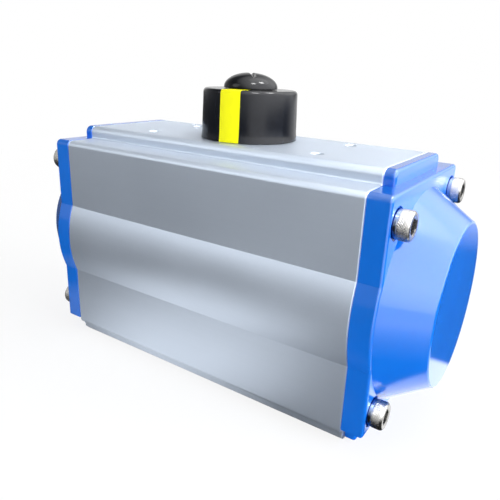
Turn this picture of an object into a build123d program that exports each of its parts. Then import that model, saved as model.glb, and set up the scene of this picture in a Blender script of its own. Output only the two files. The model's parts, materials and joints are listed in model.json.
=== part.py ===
from build123d import *
import os
from math import acos, cos, hypot, pi, radians, sin, sqrt, tan

# Twin-piston rack-and-pinion valve actuator. All sizes are in millimetres.
# X runs along the cylinder bore, Z up along the drive shaft.
# The origin is where the shaft axis meets the valve mounting face.

# Cylinder bore and the walls around it
bore_radius = 37.5
bore_wall = 4.0
bottom_wall = 10.5
top_wall = 12.5
bore_chamfer = 0.8

# Outline of the extruded body
strip_inset = 3.0
plateau_half = 25.3
plateau_rise = 5.4
plateau_corner = 2.8
plateau_root = 0.8
ledge_corner = 2.3
side_corner = 2.3
underside_height = 4.7
foot_step = 2.5
foot_chamfer = 2.0

# End caps
flange_thickness = 8.4
lip_thickness = 4.2
flange_lift = 7.2
flange_edge = 1.2
lip_edge = 1.2
lip_foot_inset = 2.4
lip_foot_corner = 1.4
lip_lift = 0.4
dome_depth = 15.5
dome_root_inset = 0.8
dome_taper = 10.0
dome_edge = 1.3
dome_wall = 4.0
seam_chamfer = 0.35

# End-cap screws, M6 socket heads
cap_screw_radius = 3.0
cap_screw_length = 25.0
cap_screw_head_radius = 5.0
cap_screw_head_height = 6.0
cap_screw_head_edge = 0.4
cap_screw_tip_chamfer = 0.6
cap_screw_hex = 5.0
cap_screw_hex_depth = 3.2
cap_screw_side_inset = 6.5
cap_screw_top_inset = 9.6
cap_screw_low_inset = 7.4
cap_screw_spare_depth = 3.0
counterbore_gap = 0.6
counterbore_depth = 0.8
screw_hole_gap = 0.3
thread_gap = 0.05

# Air channels in the body and the moulded cap seals
channel_radius = 1.6
channel_wall = 1.95
channel_inset = 4.5
cap_seal_inset = 1.2
cap_seal_width = 1.5
cap_seal_height = 1.2
cap_seal_lobe = 1.75
cap_seal_gap = 0.05
transfer_slot_depth = 3.0

# Rack and pinion
module = 1.5
pinion_teeth = 14
pressure_angle = radians(20)
profile_shift = 0.25
flank_gap = 0.06
tip_gap = 0.25
rack_width = 24.0
pinion_overhang = 1.5
full_turn = 90.0
rest_turn = 10.0

# Pistons
piston_gap = 27.0
piston_thickness = 21.0
piston_clearance = 0.4
piston_chamfer = 0.8
end_room = 4.5
arm_end_gap = 1.2
arm_bar = 6.2
arm_spine_height = 11.0
arm_shoe_start = 31.0
arm_shoe_height = 20.0
arm_first_tooth = -5
arm_last_tooth = 4
pocket_count = 5
pocket_radius = 7.0
pocket_circle = 21.0
pocket_depth = 9.0
band_offset = 3.0
band_width = 5.0
band_thickness = 2.0
piston_seal_offset = 14.2
piston_seal_section = 1.75
back_pad_length = 24.0
back_pad_height = 12.0
back_pad_thickness = 2.6
back_pad_end_room = 3.0
running_gap = 0.06
seat_gap = 0.02

# Drive shaft
shaft_lift = 1.0
lower_journal_radius = 15.0
lower_journal_top = 14.0
upper_journal_radius = 8.5
journal_gap = 0.3
spigot_radius = 17.55
spigot_depth = 3.0
socket_across = 14.0
socket_depth = 16.0
cam_seat_across = 17.4
cam_collar_radius = 11.0
lower_bearing_height = 3.6
upper_bearing_height = 3.6
bearing_depth = 1.5
bearing_land = 0.5
shaft_seal_section = 1.0
shaft_seal_land = 0.8
inner_washer_thickness = 1.3
inner_washer_width = 3.6
spot_face_gap = 0.4
outer_washer_thickness = 1.2
outer_washer_width = 4.5
snap_washer_width = 4.0
snap_washer_thickness = 1.0
snap_ring_thickness = 1.0
snap_ring_depth = 0.9
snap_ring_width = 2.4
snap_ring_opening = 60.0
stack_gap = 0.08
stub_radius = 8.0
stub_lift = 1.0
stub_across = 12.0
stub_recess = 0.6
stub_thread_depth = 14.0

# Stop cam and stop screws, M8
stop_depth = 10.0
stop_offset = 15.0
stop_face = 4.0
cam_thickness = 7.0
cam_hub_radius = 11.2
cam_clearance = 1.6
cam_bore_gap = 0.05
stop_screw_radius = 4.0
stop_screw_length = 50.0
stop_screw_tip_chamfer = 0.8
stop_screw_hex = 4.0
stop_screw_hex_depth = 4.5
stop_nut_across = 13.0
stop_nut_height = 6.5
stop_washer_radius = 7.4
stop_washer_thickness = 1.6
stop_tip_gap = 0.05

# Standard hole patterns, as tapping drills
namur_length = 80.0
namur_width = 30.0
namur_radius = 2.1
namur_depth = 11.0
namur_countersink = 0.5
small_circle = 50.0
small_radius = 2.5
small_depth = 10.0
large_circle = 70.0
large_radius = 3.4
large_depth = 13.0

# Solenoid valve pad with two G1/4 ports
pad_length = 60.0
pad_height = 35.0
pad_corner = 5.0
pad_rise = 8.5
pad_chamfer = 0.8
port_radius = 5.9
port_spacing = 24.0
port_floor_wall = 3.0
port_passage_radius = 3.5
transfer_radius = 1.3
pad_hole_length = 32.0
pad_hole_height = 24.0
pad_hole_radius = 2.1
pad_hole_depth = 8.0

# Position indicator
indicator_height = 20.0
indicator_lift = 0.25
indicator_top_radius = 19.3
indicator_taper = 0.4
indicator_skirt_flare = 0.3
indicator_skirt_height = 3.0
indicator_rim = 1.5
indicator_wall = 2.4
indicator_hub_radius = 11.2
indicator_hub_lift = 2.0
indicator_rib = 1.6
stripe_width = 8.4
stripe_depth = 1.2
knob_radius = 11.0
knob_neck_radius = 8.6
knob_neck_height = 0.55
knob_rim = 0.6
knob_rise = 5.3
knob_slot_length = 10.0
knob_slot_width = 1.7
knob_slot_depth = 2.4
knob_shank_radius = 3.0
knob_shank_length = 11.0

# Sizes that follow from the ones above
bore_height = bottom_wall + bore_radius
body_height = bore_height + bore_radius + top_wall
ledge_height = body_height - plateau_rise
bulge_radius = bore_radius + bore_wall
side_half = bulge_radius - strip_inset
foot_half = side_half - foot_step

pitch_radius = module * pinion_teeth / 2
tooth_pitch = pi * module
tip_radius = pitch_radius + module * (1 + profile_shift)
rack_line = pitch_radius + module * profile_shift
rack_tip = rack_line - module
rack_root = tip_radius + tip_gap * module
root_radius = rack_tip - tip_gap * module

full_travel = pitch_radius * radians(full_turn)
rest_travel = pitch_radius * radians(rest_turn)
body_half = piston_gap + piston_thickness + full_travel + end_room
flange_face = body_half + flange_thickness
lip_face = body_half + lip_thickness
cap_end = flange_face + dome_depth

screw_side = side_half - cap_screw_side_inset
screw_high = ledge_height - cap_screw_top_inset
screw_low = flange_lift + cap_screw_low_inset
screw_places = [(y, z) for y in (-screw_side, screw_side) for z in (screw_low, screw_high)]

channel_distance = bore_radius + channel_wall + channel_radius
channel_side = side_half - channel_inset
channel_height = bore_height - sqrt(channel_distance**2 - channel_side**2)
channel_places = [(-channel_side, channel_height), (channel_side, channel_height)]

dome_root = bulge_radius - dome_root_inset
dome_slope = dome_taper / dome_depth
cavity_radius = dome_root - dome_wall * hypot(1, dome_slope)
cap_seal_outer = bulge_radius - cap_seal_inset

gear_low = bore_height - rack_width / 2 - pinion_overhang
gear_high = bore_height + rack_width / 2 + pinion_overhang
bore_top = bore_height + bore_radius
spot_face_height = bore_top + spot_face_gap
stop_height = bore_top - stop_depth
cam_low = stop_height - cam_thickness / 2
cam_high = stop_height + cam_thickness / 2
cam_lobe_radius = sqrt(bore_radius**2 - (cam_high - bore_height) ** 2) - cam_clearance
inner_washer_low = spot_face_height - stack_gap - inner_washer_thickness
cam_hub_top = inner_washer_low - stack_gap
outer_washer_low = body_height + stack_gap
snap_washer_low = outer_washer_low + outer_washer_thickness
snap_ring_low = snap_washer_low + snap_washer_thickness + stack_gap
stub_low = snap_ring_low + snap_ring_thickness + stub_lift
indicator_top = body_height + indicator_height
indicator_low_radius = indicator_top_radius + indicator_taper
shaft_top = indicator_top - stub_recess

lower_hole_radius = lower_journal_radius + journal_gap
upper_hole_radius = upper_journal_radius + journal_gap
lower_bearing_low = spigot_depth + bearing_land
lower_seal_height = lower_bearing_low + lower_bearing_height + shaft_seal_land + shaft_seal_section
upper_bearing_low = spot_face_height + bearing_land
upper_seal_height = upper_bearing_low + upper_bearing_height + shaft_seal_land + shaft_seal_section

pad_face = bulge_radius + pad_rise
port_floor = bore_radius + port_floor_wall


# Prisms of a flat outline, along each axis
def along_x(outline, start, length):
    return extrude(Plane.YZ.offset(start) * outline, length)


def along_y(outline, start, length):
    return extrude(Plane.XZ.offset(-start) * outline, -length)


def along_z(outline, start, length):
    return extrude(Plane.XY.offset(start) * outline, length)


# The same flat outline at each of several places
def spread(outline, places):
    return Sketch() + [place * outline for place in places]


# A disc or ring about the bore axis
def bore_disc(radius, start, length):
    return along_x(Pos(0, bore_height) * Circle(radius), start, length)


def bore_ring(outer, inner, start, length):
    return along_x(Pos(0, bore_height) * (Circle(outer) - Circle(inner)), start, length)


# A disc or ring about the shaft axis
def shaft_disc(radius, start, end):
    return along_z(Circle(radius), start, end - start)


def shaft_ring(outer, inner, start, end):
    return along_z(Circle(outer) - Circle(inner), start, end - start)


# A form turned about the bore axis, from points of (X, radius)
def turned_about_bore(*points):
    return Pos(0, 0, bore_height) * revolve(Plane.XZ * make_face(Polyline(*points, close=True)), Axis.X)


def mirrored_outline(half_points, half_radii):
    other_points = [(-y, z) for y, z in reversed(half_points)]
    points = half_points + other_points
    radii = half_radii + list(reversed(half_radii))
    return make_face(FilletPolyline(*points, radius=radii, close=True))


def bulge():
    return Pos(0, bore_height) * Circle(bulge_radius)


# Body
def body_outline():
    half_points = [
        (foot_half - foot_chamfer, 0),
        (foot_half, foot_chamfer),
        (foot_half, underside_height),
        (side_half, underside_height),
        (side_half, ledge_height),
        (plateau_half, ledge_height),
        (plateau_half, body_height),
    ]
    half_radii = [0, 0, 0, side_corner, ledge_corner, plateau_root, plateau_corner]
    return mirrored_outline(half_points, half_radii) + bulge()


def solenoid_pad():
    plate = along_y(
        Pos(0, bore_height) * RectangleRounded(pad_length, pad_height, pad_corner),
        bore_radius / 2,
        pad_face - bore_radius / 2,
    )
    face = plate.faces().sort_by(Axis.Y)[-1]
    return chamfer(face.edges(), pad_chamfer)


# The cylinder bore with a lead-in chamfer at both ends
def cylinder_bore():
    mouth = bore_radius + bore_chamfer
    return turned_about_bore(
        (-body_half, 0),
        (-body_half, mouth),
        (-body_half + bore_chamfer, bore_radius),
        (body_half - bore_chamfer, bore_radius),
        (body_half, mouth),
        (body_half, 0),
    )


def shaft_holes():
    spigot = shaft_disc(spigot_radius, 0, spigot_depth)
    lower = shaft_disc(lower_hole_radius, 0, bore_height)
    spot_face = shaft_disc(upper_hole_radius + inner_washer_width + stack_gap, bore_height, spot_face_height)
    upper = shaft_disc(upper_hole_radius, bore_height, body_height)
    return [spigot, lower, spot_face, upper]


def top_holes():
    places = GridLocations(namur_length, namur_width, 2, 2)
    drilled = along_z(spread(Circle(namur_radius), places), body_height - namur_depth, namur_depth)
    mouth = Cone(
        namur_radius,
        namur_radius + namur_countersink,
        namur_countersink,
        align=(Align.CENTER, Align.CENTER, Align.MAX),
    )
    return [drilled] + [Pos(0, 0, body_height) * place * mouth for place in places]


def valve_holes():
    small = spread(Circle(small_radius), PolarLocations(small_circle / 2, 4, start_angle=45))
    large = spread(Circle(large_radius), PolarLocations(large_circle / 2, 4, start_angle=45))
    return [along_z(small, 0, small_depth), along_z(large, 0, large_depth)]


def cap_screw_threads():
    depth = cap_screw_length + cap_screw_spare_depth - (flange_thickness - counterbore_depth)
    holes = spread(Circle(cap_screw_radius + thread_gap), Locations(*screw_places))
    return [along_x(holes, body_half - depth, depth), along_x(holes, -body_half, depth)]


def air_channels():
    outline = spread(Circle(channel_radius), Locations(*channel_places))
    return along_x(outline, -body_half, 2 * body_half)


# The port over +X feeds the channel, the other one the space between the pistons
def port_cuts():
    depth = pad_face - port_floor
    mouths = spread(Circle(port_radius), GridLocations(port_spacing, 0, 2, 1))
    pockets = along_y(Pos(0, bore_height) * mouths, port_floor, depth)
    passage = Pos(-port_spacing / 2, bore_height) * Circle(port_passage_radius)
    centre_way = along_y(passage, bore_radius / 2, port_floor - bore_radius / 2)
    start = Vector(port_spacing / 2, port_floor + transfer_radius, bore_height - port_radius + transfer_radius)
    end = Vector(port_spacing / 2, channel_side, channel_height)
    transfer = extrude(Plane(origin=start, z_dir=end - start) * Circle(transfer_radius), (end - start).length)
    drills = spread(Circle(pad_hole_radius), GridLocations(pad_hole_length, pad_hole_height, 2, 2))
    bolts = along_y(Pos(0, bore_height) * drills, pad_face - pad_hole_depth, pad_hole_depth)
    return [pockets, centre_way, transfer, bolts]


def stop_screw_holes():
    holes = spread(Circle(stop_screw_radius + thread_gap), GridLocations(2 * stop_offset, 0, 2, 1))
    return along_y(Pos(0, stop_height) * holes, 0, side_half)


def make_body():
    body = along_x(body_outline(), -body_half, 2 * body_half)
    for end_face in (body.faces().sort_by(Axis.X)[0], body.faces().sort_by(Axis.X)[-1]):
        body = chamfer(body.edges().filter_by(lambda edge: edge in end_face.edges()), seam_chamfer)
    body += solenoid_pad()
    body -= cylinder_bore()
    cuts = shaft_holes() + top_holes() + valve_holes() + cap_screw_threads() + port_cuts()
    return body - cuts - air_channels() - stop_screw_holes()


# End cap, drawn on the +X end
def flange_outline():
    half_points = [(side_half, flange_lift), (side_half, ledge_height)]
    return mirrored_outline(half_points, [0, ledge_corner]) + bulge()


def lip_outline():
    lip_foot = foot_half - lip_foot_inset
    half_points = [
        (lip_foot, lip_lift),
        (lip_foot, flange_lift + lip_edge),
        (plateau_half, ledge_height - ledge_corner),
        (plateau_half, body_height),
    ]
    return mirrored_outline(half_points, [lip_foot_corner, 0, 0, plateau_corner])


def dome():
    start = body_half + lip_thickness
    blank = turned_about_bore(
        (start, 0), (start, dome_root), (flange_face, dome_root), (cap_end, dome_root - dome_taper), (cap_end, 0)
    )
    rim = blank.edges().filter_by(GeomType.CIRCLE).sort_by(Axis.X)[-1]
    return fillet(rim, dome_edge)


def dome_cavity():
    depth = cap_end - dome_wall
    end_radius = cavity_radius - dome_slope * (depth - flange_face)
    return turned_about_bore(
        (body_half, 0), (body_half, cavity_radius), (flange_face, cavity_radius), (depth, end_radius), (depth, 0)
    )


# The seal runs round the bore and out round each air channel
def seal_outline(grow):
    outer = Pos(0, bore_height) * Circle(cap_seal_outer + grow)
    inner = Pos(0, bore_height) * Circle(cap_seal_outer - cap_seal_width - grow)
    for side in (-channel_side, channel_side):
        outer += Pos(side, channel_height) * Circle(channel_radius + cap_seal_lobe + grow)
        inner += Pos(side, channel_height) * Circle(channel_radius + cap_seal_lobe - cap_seal_width - grow)
    return outer - inner


# Slots that join the air channels to the space behind the pistons
def transfer_slots():
    reach = channel_distance - cavity_radius + channel_radius
    angle = acos(channel_side / channel_distance)
    slots = Sketch()
    for side in (-1, 1):
        slot = Pos((cavity_radius + reach / 2 - channel_radius) * side, 0) * Rectangle(reach, 2 * channel_radius)
        tilted = Rot(0, 0, -side * angle * 180 / pi) * slot
        slots += Pos(0, bore_height) * tilted
        slots += Pos(side * channel_side, channel_height) * Circle(channel_radius)
    return along_x(slots, body_half, transfer_slot_depth)


def make_end_cap():
    flange = along_x(flange_outline(), body_half, flange_thickness)
    outer_face = flange.faces().sort_by(Axis.X)[-1]
    flange = fillet(outer_face.edges(), flange_edge)
    lip = along_x(lip_outline(), body_half, lip_thickness)
    lip = fillet(lip.faces().sort_by(Axis.X)[-1].edges(), lip_edge)
    cap = flange + lip + dome()
    seam_face = cap.faces().sort_by(Axis.X)[0]
    cap = chamfer(seam_face.outer_wire().edges(), seam_chamfer)
    cap -= dome_cavity()
    cap -= along_x(seal_outline(cap_seal_gap), body_half, cap_seal_height)
    cap -= transfer_slots()
    holes = spread(Circle(cap_screw_radius + screw_hole_gap), Locations(*screw_places))
    seats = spread(Circle(cap_screw_head_radius + counterbore_gap), Locations(*screw_places))
    cap -= along_x(holes, body_half, flange_thickness)
    cap -= along_x(seats, flange_face - counterbore_depth, counterbore_depth + dome_depth)
    return cap


def make_cap_seal():
    return along_x(seal_outline(0), body_half, cap_seal_height)


def make_cap_screws():
    seat = flange_face - counterbore_depth
    hexagon = RegularPolygon(cap_screw_hex / 2, 6, major_radius=False)
    head = Pos(seat + cap_screw_head_height / 2) * Cylinder(
        cap_screw_head_radius, cap_screw_head_height, rotation=(0, 90, 0)
    )
    head = chamfer(head.edges().sort_by(Axis.X)[-1], cap_screw_head_edge)
    shank = Pos(seat - cap_screw_length / 2) * Cylinder(cap_screw_radius, cap_screw_length, rotation=(0, 90, 0))
    shank = chamfer(shank.edges().sort_by(Axis.X)[0], cap_screw_tip_chamfer)
    face = seat + cap_screw_head_height
    screw = head + shank - along_x(hexagon, face - cap_screw_hex_depth, cap_screw_hex_depth)
    return Compound([Pos(0, y, z) * screw for y, z in screw_places])


# Rack and pinion teeth
def involute(angle):
    return tan(angle) - angle


def half_tooth_angle(radius):
    base_radius = pitch_radius * cos(pressure_angle)
    thickness = module * (pi / 2 + 2 * profile_shift * tan(pressure_angle)) - 2 * flank_gap
    rolled = acos(min(1, base_radius / radius))
    return thickness / (2 * pitch_radius) + involute(pressure_angle) - involute(rolled)


def polar(radius, angle):
    return (radius * cos(angle), radius * sin(angle))


def pinion_tooth():
    base_radius = max(pitch_radius * cos(pressure_angle), root_radius)
    middle = (base_radius + tip_radius) / 2
    half = [(r, half_tooth_angle(r)) for r in (base_radius, middle, tip_radius)]
    foot = (root_radius * 0.9, half_tooth_angle(base_radius))
    upper = [polar(r, a) for r, a in half]
    lower = [polar(r, -a) for r, a in half]
    edges = [
        Line(polar(foot[0], foot[1]), upper[0]),
        ThreePointArc(*upper),
        Line(upper[2], lower[2]),
        ThreePointArc(*reversed(lower)),
        Line(lower[0], polar(foot[0], -foot[1])),
        Line(polar(foot[0], -foot[1]), polar(foot[0], foot[1])),
    ]
    return make_face(Curve() + edges)


def pinion_outline():
    teeth = [Rot(0, 0, 360 * i / pinion_teeth) * pinion_tooth() for i in range(pinion_teeth)]
    return Circle(root_radius) + teeth


# A rack tooth that points along +Y, from below its root line to its tip
def rack_tooth(centre):
    half_at_line = tooth_pitch / 4 - flank_gap
    at_tip = half_at_line - module * tan(pressure_angle)
    at_root = half_at_line + (rack_root - rack_line) * tan(pressure_angle)
    points = [
        (centre - at_root, -rack_root - module),
        (centre - at_root, -rack_root),
        (centre - at_tip, -rack_tip),
        (centre + at_tip, -rack_tip),
        (centre + at_root, -rack_root),
        (centre + at_root, -rack_root - module),
    ]
    return make_face(Polyline(*points, close=True))


# Right-hand piston with the pistons fully in; its rack runs on the -Y side of the pinion
def rack_arm():
    start = -piston_gap + arm_end_gap
    length = piston_gap - start + piston_chamfer
    bar = Pos(-rack_root - arm_bar / 2, bore_height) * Rectangle(arm_bar, rack_width)
    spine_width = arm_shoe_start - rack_root
    spine = Pos(-rack_root - spine_width / 2, bore_height) * Rectangle(spine_width, arm_spine_height)
    shoe = Pos(-arm_shoe_start - bore_radius / 2, bore_height) * Rectangle(bore_radius, arm_shoe_height)
    inside = Pos(0, bore_height) * Circle(bore_radius - piston_clearance)
    arm = along_x((bar + spine + shoe) & inside, start, length)
    teeth = [rack_tooth(tooth_pitch * i) for i in range(arm_first_tooth, arm_last_tooth + 1)]
    return arm + along_z(Sketch() + teeth, bore_height - rack_width / 2, rack_width)


# The guide pad's place on the arm's back; grow is its clearance
def back_pad(grow):
    start = -piston_gap + arm_end_gap + back_pad_end_room - grow
    outer = bore_radius - running_gap
    inner = outer - back_pad_thickness - grow
    ring = Pos(0, bore_height) * (Circle(outer + grow) - Circle(inner))
    window = Pos(-outer, bore_height) * Rectangle(outer, back_pad_height + 2 * grow)
    return along_x(ring & window, start, back_pad_length + 2 * grow)


def piston_band(grow):
    outer = bore_radius - running_gap
    start = piston_gap + band_offset - grow
    return bore_ring(outer + piston_clearance * bool(grow), outer - band_thickness - grow, start, band_width + 2 * grow)


def piston_seal_place():
    return (piston_gap + piston_seal_offset, bore_radius - running_gap - piston_seal_section)


def piston_seal_groove():
    middle, radius = piston_seal_place()
    half_width = piston_seal_section * 1.15
    return bore_ring(bore_radius, radius - piston_seal_section - seat_gap, middle - half_width, 2 * half_width)


def make_piston():
    head = bore_disc(bore_radius - piston_clearance, piston_gap, piston_thickness)
    head = chamfer(head.edges().filter_by(GeomType.CIRCLE), piston_chamfer)
    outer_face = piston_gap + piston_thickness
    pockets = spread(Circle(pocket_radius), PolarLocations(pocket_circle, pocket_count, start_angle=90))
    head -= along_x(Pos(0, bore_height) * pockets, outer_face - pocket_depth, pocket_depth)
    piston = head + rack_arm()
    return piston - back_pad(seat_gap) - piston_band(seat_gap) - piston_seal_groove()


def make_piston_seal():
    middle, radius = piston_seal_place()
    return Pos(middle, 0, bore_height) * Torus(radius, piston_seal_section, rotation=(0, 90, 0))


# Drive shaft, with the pistons fully in
def stub_outline(grow):
    flats = Rectangle(stub_across + 2 * grow, 4 * stub_radius)
    return Circle(stub_radius + grow) & flats


def star_outline():
    square = Rectangle(socket_across, socket_across)
    return square + Rot(0, 0, 45) * square


def shaft_groove(journal, depth, start, end):
    return shaft_ring(journal + journal_gap, journal - depth, start, end)


def shaft_seal_radius(hole_radius):
    return hole_radius - running_gap - shaft_seal_section


def shaft_seal_groove(hole_radius, middle):
    floor = shaft_seal_radius(hole_radius) - shaft_seal_section - seat_gap
    half_width = shaft_seal_section * 1.15
    return shaft_ring(hole_radius, floor, middle - half_width, middle + half_width)


def make_pinion():
    shaft = shaft_disc(lower_journal_radius, shaft_lift, lower_journal_top)
    shaft += shaft_disc(tip_radius, lower_journal_top, gear_low)
    shaft += along_z(pinion_outline(), gear_low, gear_high - gear_low)
    shaft += shaft_disc(cam_collar_radius, gear_high, cam_low)
    seat = RegularPolygon(cam_seat_across / 2, 8, major_radius=False)
    shaft += along_z(seat, cam_low, cam_hub_top - cam_low)
    shaft += shaft_disc(upper_journal_radius, cam_hub_top, stub_low)
    shaft += along_z(stub_outline(0), stub_low, shaft_top - stub_low)
    shaft = chamfer(shaft.faces().sort_by(Axis.Z)[-1].edges(), 0.6)
    snap_groove = (upper_journal_radius, snap_ring_depth, snap_ring_low, snap_ring_low + snap_ring_thickness + seat_gap)
    grooves = [
        shaft_groove(lower_journal_radius, bearing_depth, lower_bearing_low, lower_bearing_low + lower_bearing_height),
        shaft_groove(upper_journal_radius, bearing_depth, upper_bearing_low, upper_bearing_low + upper_bearing_height),
        shaft_seal_groove(lower_hole_radius, lower_seal_height),
        shaft_seal_groove(upper_hole_radius, upper_seal_height),
        shaft_groove(*snap_groove),
    ]
    thread = shaft_disc(knob_shank_radius + thread_gap, shaft_top - stub_thread_depth, shaft_top)
    return shaft - grooves - along_z(star_outline(), shaft_lift, socket_depth) - thread


def bearing_ring(journal, hole_radius, start, height):
    return shaft_ring(
        hole_radius - running_gap, journal - bearing_depth + seat_gap, start + seat_gap, start + height - seat_gap
    )


def shaft_seal(hole_radius, middle):
    return Pos(0, 0, middle) * Torus(shaft_seal_radius(hole_radius), shaft_seal_section)


def make_inner_washer():
    inner = upper_journal_radius + seat_gap
    return shaft_ring(upper_hole_radius + inner_washer_width, inner, inner_washer_low, inner_washer_low + inner_washer_thickness)


def make_outer_washer():
    inner = upper_journal_radius + seat_gap
    return shaft_ring(inner + outer_washer_width, inner, outer_washer_low, outer_washer_low + outer_washer_thickness)


def make_snap_washer():
    inner = upper_journal_radius + seat_gap
    return shaft_ring(inner + snap_washer_width, inner, snap_washer_low, snap_washer_low + snap_washer_thickness)


# Open ring with two eyed ends for the pliers
def make_snap_ring():
    inner = upper_journal_radius - snap_ring_depth + seat_gap
    outer = inner + snap_ring_width
    half = radians(snap_ring_opening / 2)
    far = 3 * outer
    opening = make_face(Polyline((0, 0), polar(far, -half), polar(far, half), close=True))
    eye_radius = inner + snap_ring_width / 2
    ring = Circle(outer) - Circle(inner) - opening
    for angle in (-half, half):
        ring += Pos(*polar(eye_radius, angle)) * Circle(snap_ring_width / 2)
        ring -= Pos(*polar(eye_radius, angle)) * Circle(snap_ring_width / 5)
    return along_z(ring, snap_ring_low, snap_ring_thickness)


# The lobe is the quarter between two flat faces, each of which meets one stop screw
def make_stop_cam():
    quarter = Pos(stop_face - cam_lobe_radius, stop_face - cam_lobe_radius) * Rectangle(
        2 * cam_lobe_radius, 2 * cam_lobe_radius
    )
    lobe = Circle(cam_lobe_radius) & quarter
    seat = RegularPolygon(cam_seat_across / 2 + cam_bore_gap, 8, major_radius=False)
    cam = along_z(lobe, cam_low, cam_thickness) + shaft_disc(cam_hub_radius, cam_low, cam_hub_top)
    return cam - along_z(seat, cam_low, cam_hub_top - cam_low)


# Stop screws, drawn at X = 0
def make_stop_screw():
    start = stop_face + stop_tip_gap
    screw = along_y(Pos(0, stop_height) * Circle(stop_screw_radius), start, stop_screw_length)
    screw = chamfer(screw.edges().filter_by(GeomType.CIRCLE), stop_screw_tip_chamfer)
    hexagon = Pos(0, stop_height) * RegularPolygon(stop_screw_hex / 2, 6, major_radius=False)
    return screw - along_y(hexagon, start + stop_screw_length - stop_screw_hex_depth, stop_screw_hex_depth)


def stop_pair(shape):
    return Compound([Pos(-stop_offset) * shape, Pos(stop_offset) * shape])


def make_stop_washers():
    ring = Pos(0, stop_height) * (Circle(stop_washer_radius) - Circle(stop_screw_radius + thread_gap))
    return stop_pair(along_y(ring, side_half, stop_washer_thickness))


def make_stop_nuts():
    hexagon = RegularPolygon(stop_nut_across / 2, 6, major_radius=False)
    outline = Pos(0, stop_height) * (hexagon - Circle(stop_screw_radius + thread_gap))
    nut = along_y(outline, side_half + stop_washer_thickness, stop_nut_height)
    dress = stop_nut_across * 0.56
    turned = Pos(0, 0, stop_height) * extrude(
        Plane.XZ.offset(-side_half - stop_washer_thickness) * Circle(dress), -stop_nut_height
    )
    turned = chamfer(turned.edges().filter_by(GeomType.CIRCLE), 0.6)
    return stop_pair(nut & turned)


# Position indicator, drawn with the stripe along Y, its place with the pistons fully in
def indicator_form(inset):
    low = body_height + indicator_lift
    top = indicator_top - inset
    flare = indicator_low_radius + indicator_skirt_flare - inset
    skirt = indicator_low_radius - inset
    points = [
        (0, low),
        (flare, low),
        (skirt, low + indicator_skirt_height),
        (indicator_top_radius - inset, top),
        (0, top),
    ]
    blank = revolve(Plane.XZ * make_face(Polyline(*points, close=True)), Axis.Z)
    rim = blank.edges().filter_by(GeomType.CIRCLE).sort_by(Axis.Z)[-1]
    return fillet(rim, max(indicator_rim - inset, 0.2))


def stripe_layer():
    band = along_z(Rectangle(stripe_width, 4 * indicator_low_radius), body_height, 2 * indicator_height)
    return (indicator_form(0) - indicator_form(stripe_depth)) & band


def make_indicator():
    low = body_height + indicator_lift
    hub_low = stub_low + indicator_hub_lift
    roof = indicator_top - indicator_wall
    hollow = shaft_disc(indicator_top_radius - indicator_wall, low, roof)
    cup = indicator_form(0) - hollow
    cup += shaft_disc(indicator_hub_radius, hub_low, roof)
    reach = 2 * (indicator_top_radius - indicator_wall / 2)
    for turn in (0, 90):
        rib = Rot(0, 0, turn) * Rectangle(reach, indicator_rib)
        cup += along_z(rib, hub_low, roof - hub_low)
    return cup - stripe_layer() - along_z(stub_outline(journal_gap / 2), low, indicator_height)


def make_stripe():
    return stripe_layer() - along_z(stub_outline(journal_gap / 2), body_height, 2 * indicator_height)


def make_indicator_screw():
    head_low = indicator_top + knob_neck_height
    rim = head_low + knob_rim
    sphere_radius = (knob_radius**2 + knob_rise**2) / (2 * knob_rise)
    ball = Pos(0, 0, rim + knob_rise - sphere_radius) * Sphere(sphere_radius)
    crown = ball & shaft_disc(knob_radius, rim, rim + 2 * knob_rise)
    head = crown + shaft_disc(knob_radius, head_low, rim) + shaft_disc(knob_neck_radius, indicator_top, head_low)
    head += shaft_disc(knob_shank_radius, shaft_top - knob_shank_length, head_low)
    slot = Rectangle(knob_slot_length, knob_slot_width)
    cross = slot + Rot(0, 0, 90) * slot
    return head - along_z(cross, rim + knob_rise - knob_slot_depth, 2 * knob_slot_depth)


# What turns with the shaft, and what slides with each piston
def turned_to_rest(shape):
    return Rot(0, 0, rest_turn) * shape


def right_at_rest(shape):
    return Pos(rest_travel, 0, 0) * shape


def left_at_rest(shape):
    return Rot(0, 0, 180) * right_at_rest(shape)


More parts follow.
